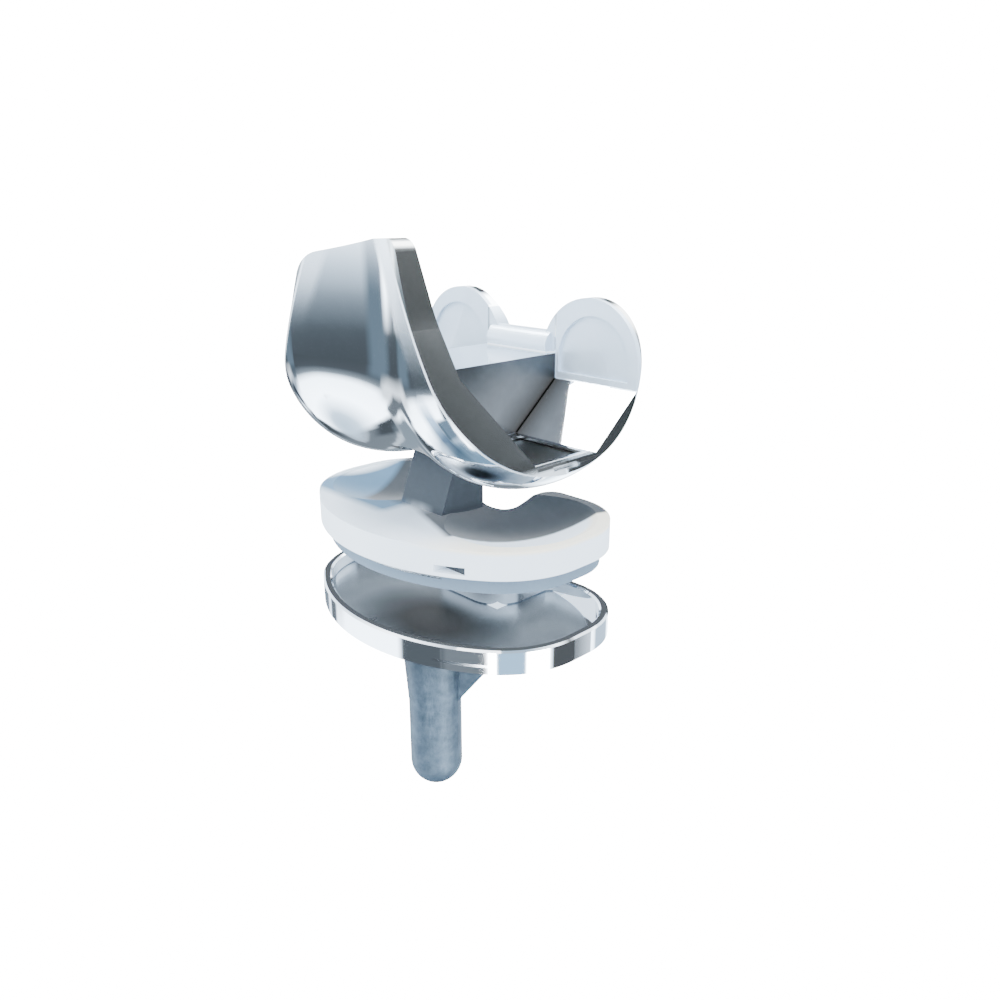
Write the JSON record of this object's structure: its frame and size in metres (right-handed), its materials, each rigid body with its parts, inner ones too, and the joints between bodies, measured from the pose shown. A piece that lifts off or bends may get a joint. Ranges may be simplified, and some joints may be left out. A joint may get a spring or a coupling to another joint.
{
  "type": "total knee replacement",
  "caption": "Stabilised total knee implant drawn exploded: femoral component, insert with its post, and tray on a short stem.",
  "frame": {"origin": "where the axis of the stem meets the tray's underside", "axes": "+X lateral (a left knee), +Y posterior, +Z proximal, up the leg"},
  "size_m": [0.072, 0.0533, 0.1243],
  "materials": {
    "polished_alloy": "mirror polished",
    "blasted_alloy": "grit blasted, matte",
    "pin_steel": "ground",
    "polyethylene": "milled, slightly translucent"
  },
  "bodies": {
    "tray": {"tibial_tray": "polished_alloy", "tibial_stem": "blasted_alloy"},
    "insert": {"tibial_insert": "polyethylene", "locking_wire": "pin_steel"},
    "post_pin": {"insert_post_pin": "pin_steel"},
    "femoral": {"femoral_component": "polished_alloy"}
  },
  "joints": [
    {"name": "insert_seating", "type": "slide", "parent": "tray", "child": "insert", "axis": [0, 0, 1], "range_m": [-0.0144, 0]},
    {"name": "femoral_seating", "type": "slide", "parent": "insert", "child": "post_pin", "axis": [0, 0, 1], "range_m": [-0.0109, 0]},
    {"name": "knee_flexion", "type": "hinge", "parent": "post_pin", "child": "femoral", "pos_m": [0, 0.018, 0.0543], "axis": [-1, 0, 0], "range_deg": [0, 120]}
  ]
}
